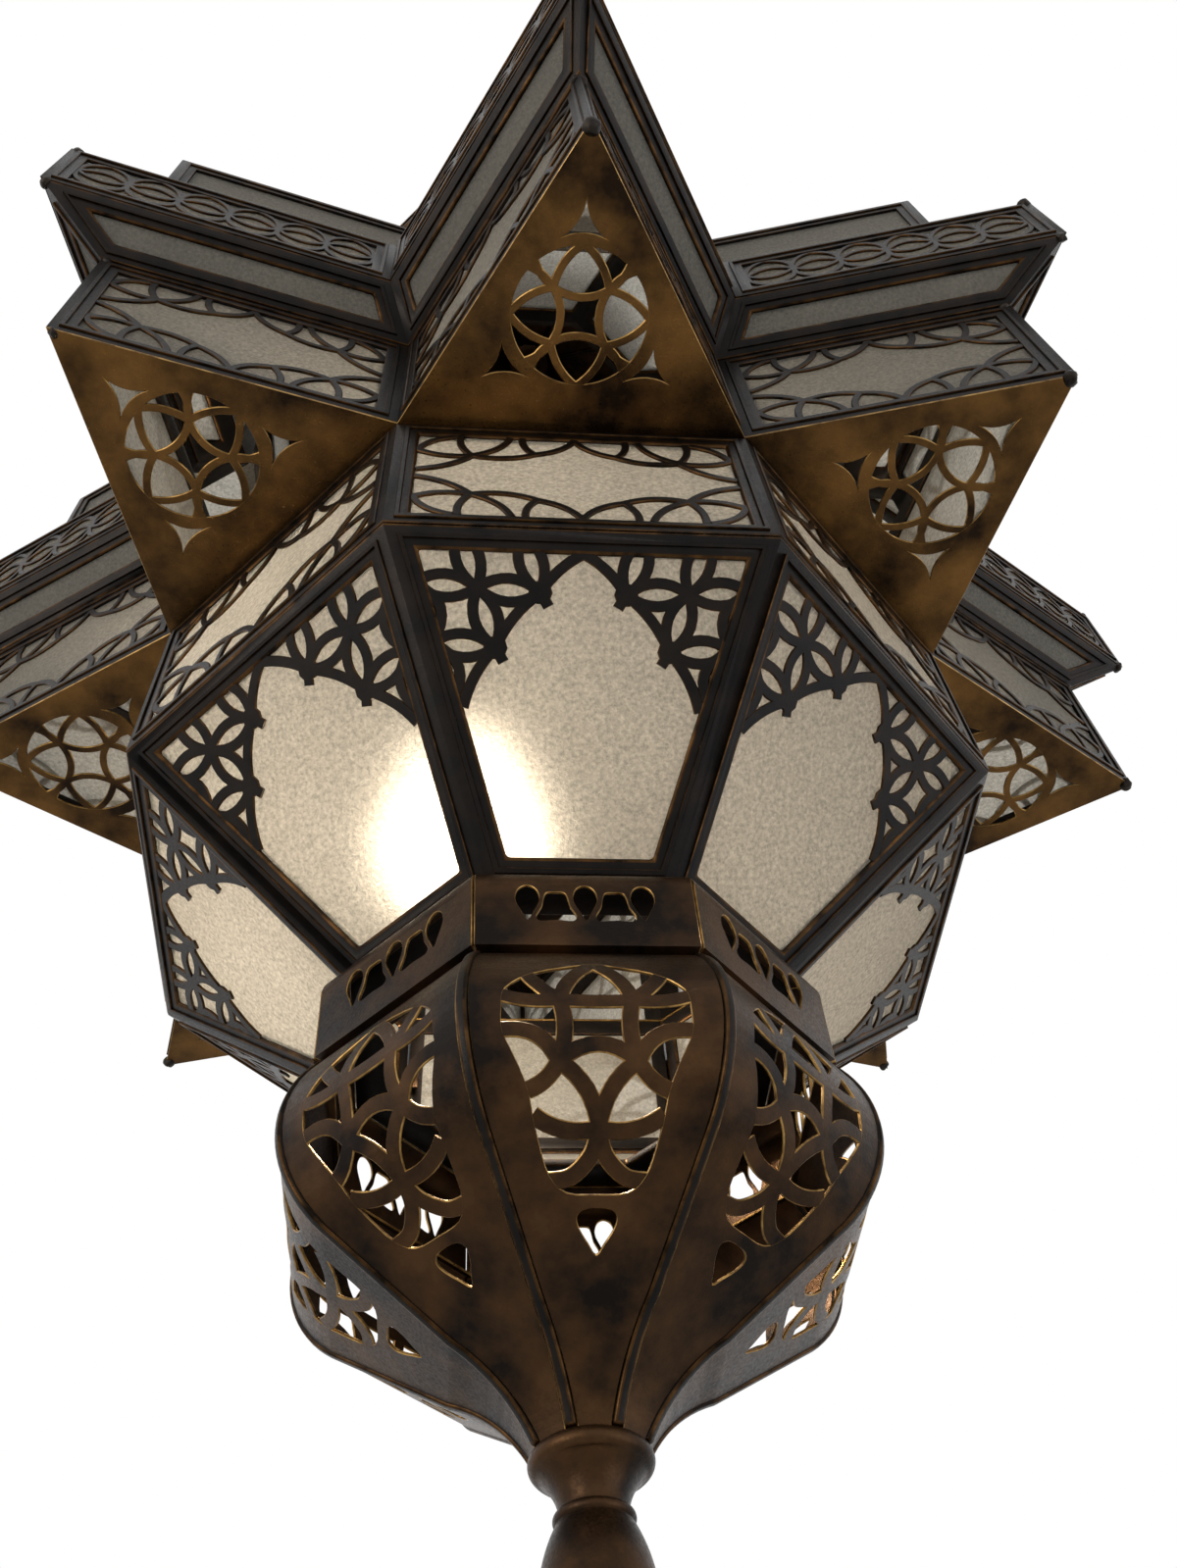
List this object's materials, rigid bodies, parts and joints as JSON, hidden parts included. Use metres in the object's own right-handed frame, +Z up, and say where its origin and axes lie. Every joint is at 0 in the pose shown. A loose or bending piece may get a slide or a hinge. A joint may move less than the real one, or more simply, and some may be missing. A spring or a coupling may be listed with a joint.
{
  "type": "star lantern pendant",
  "caption": "Hanging star lantern of pierced brass and frosted glass with an eight-sided body, a star-shaped middle, an onion bowl, a drop finial and a hinged pane at the back.",
  "frame": {"origin": "the top of the hanging ring's hole, where the ring rests on what carries it", "axes": "+Z up along the lantern's axis, -Y towards the face that the picture looks at, +X to the right of it"},
  "size_m": [0.5992, 0.5992, 1.0152],
  "materials": {
    "brass": "aged, dark brown in the hollows, worn bright at the edges",
    "frosted_glass": "frosted, fine sandy grain",
    "steel": "brassed steel, dull",
    "holder_plastic": "moulded, matt",
    "cap_metal": "pressed, satin",
    "bulb_glass": "opal"
  },
  "bodies": {
    "hanging_ring": {"hanging_ring": "brass"},
    "door": {"door_frame": "brass", "door_pane": "frosted_glass", "door_lace": "brass", "door_knuckle": "brass"},
    "catch": {"catch_knob": "brass", "catch_arm": "brass"},
    "lantern": {"cone_frames_lower": "brass", "cone_panes_lower": "frosted_glass", "cone_frames_upper": "brass", "cone_panes_upper": "frosted_glass", "belt_frames_lower": "brass", "belt_panes_lower": "frosted_glass", "belt_frames_upper": "brass", "belt_panes_upper": "frosted_glass", "cone_lace_lower": "brass", "belt_lace_lower": "brass", "star_wall_lower_frames": "brass", "star_wall_lower_panes": "frosted_glass", "flare_lower_frames": "brass", "flare_lower_panes": "frosted_glass", "star_edge_frames": "brass", "star_edge_panes": "frosted_glass", "flare_upper_frames": "brass", "flare_upper_panes": "frosted_glass", "star_wall_upper_frames": "brass", "star_wall_upper_panes": "frosted_glass", "star_wall_lace_lower": "brass", "star_plates_lower": "brass", "star_frames_top": "brass", "star_panes_top": "frosted_glass", "hinge_knuckles": "brass", "hinge_pin": "steel", "gallery_band": "brass", "crown_band": "brass", "bowl_gores": "brass", "bowl_seams": "brass", "crown_gores": "brass", "crown_seams": "brass", "mouth_hoop": "brass", "crown_hoop": "brass", "finial": "brass", "bowl_washer": "brass", "finial_nut": "brass", "top_cap": "brass", "hanging_eye": "brass", "cross_bar": "steel", "lock_nut_lower": "steel", "lock_nut_upper": "steel", "lock_nut_arm": "steel", "lamp_arm": "steel", "lamp_tube": "steel", "lamp_holder": "holder_plastic", "bulb_cap": "cap_metal", "bulb": "bulb_glass"}
  },
  "joints": [
    {"name": "lantern_swing", "type": "hinge", "parent": "hanging_ring", "child": "lantern", "pos_m": [0, 0, -0.045], "axis": [1, 0, 0], "range_deg": [-30, 30]},
    {"name": "door_hinge", "type": "hinge", "parent": "lantern", "child": "door", "pos_m": [0.06605, 0.15946, -0.6702], "axis": [0, 0, -1], "range_deg": [0, 110]},
    {"name": "catch_turn", "type": "hinge", "parent": "door", "child": "catch", "pos_m": [-0.05946, 0.15706, -0.6702], "axis": [0, 1, 0], "range_deg": [0, 90]}
  ]
}
